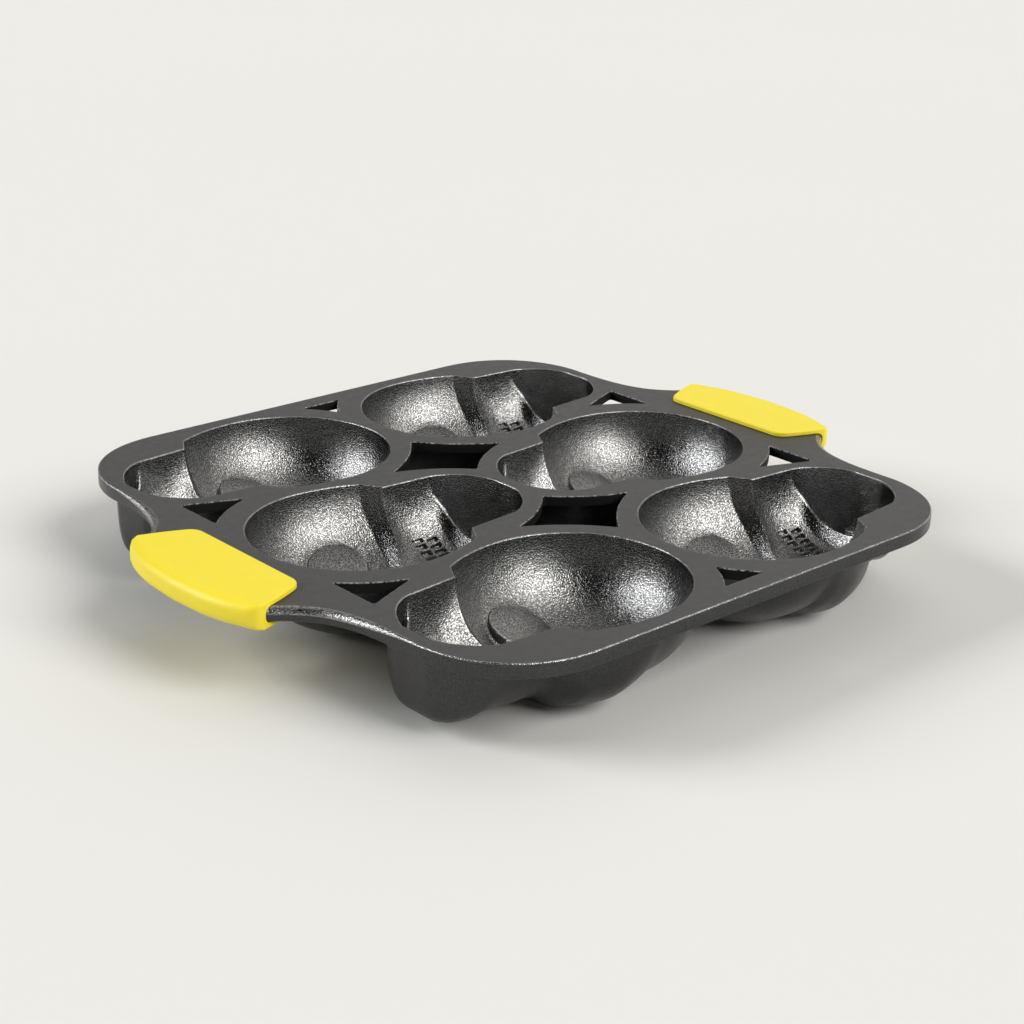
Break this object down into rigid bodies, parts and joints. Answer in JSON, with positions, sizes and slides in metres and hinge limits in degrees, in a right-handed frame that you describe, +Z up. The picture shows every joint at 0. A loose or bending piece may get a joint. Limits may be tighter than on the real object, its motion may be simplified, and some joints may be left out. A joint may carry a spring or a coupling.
{
  "type": "skull cake pan",
  "caption": "Cast iron cake pan: a flat plate of sunken face-up skull cups, with a tab handle at each end in a slip-on silicone grip.",
  "frame": {"origin": "under the middle of the pan, on the surface that it stands on", "axes": "+Z up, out of the cups' mouths; +X from the left handle to the right handle; +Y away from the front row of cups"},
  "size_m": [0.3886, 0.3256, 0.0476],
  "materials": {
    "seasoned_iron": "seasoned, matte with a fine cast grain",
    "yellow_silicone": "soft satin"
  },
  "bodies": {
    "pan": {"pan_casting": "seasoned_iron"},
    "left_grip": {"grip_left": "yellow_silicone"},
    "right_grip": {"grip_right": "yellow_silicone"}
  },
  "joints": [
    {"name": "left_grip_slide", "type": "slide", "parent": "pan", "child": "left_grip", "axis": [-1, 0, 0], "range_m": [0, 0.05]},
    {"name": "right_grip_slide", "type": "slide", "parent": "pan", "child": "right_grip", "axis": [1, 0, 0], "range_m": [0, 0.05]}
  ]
}
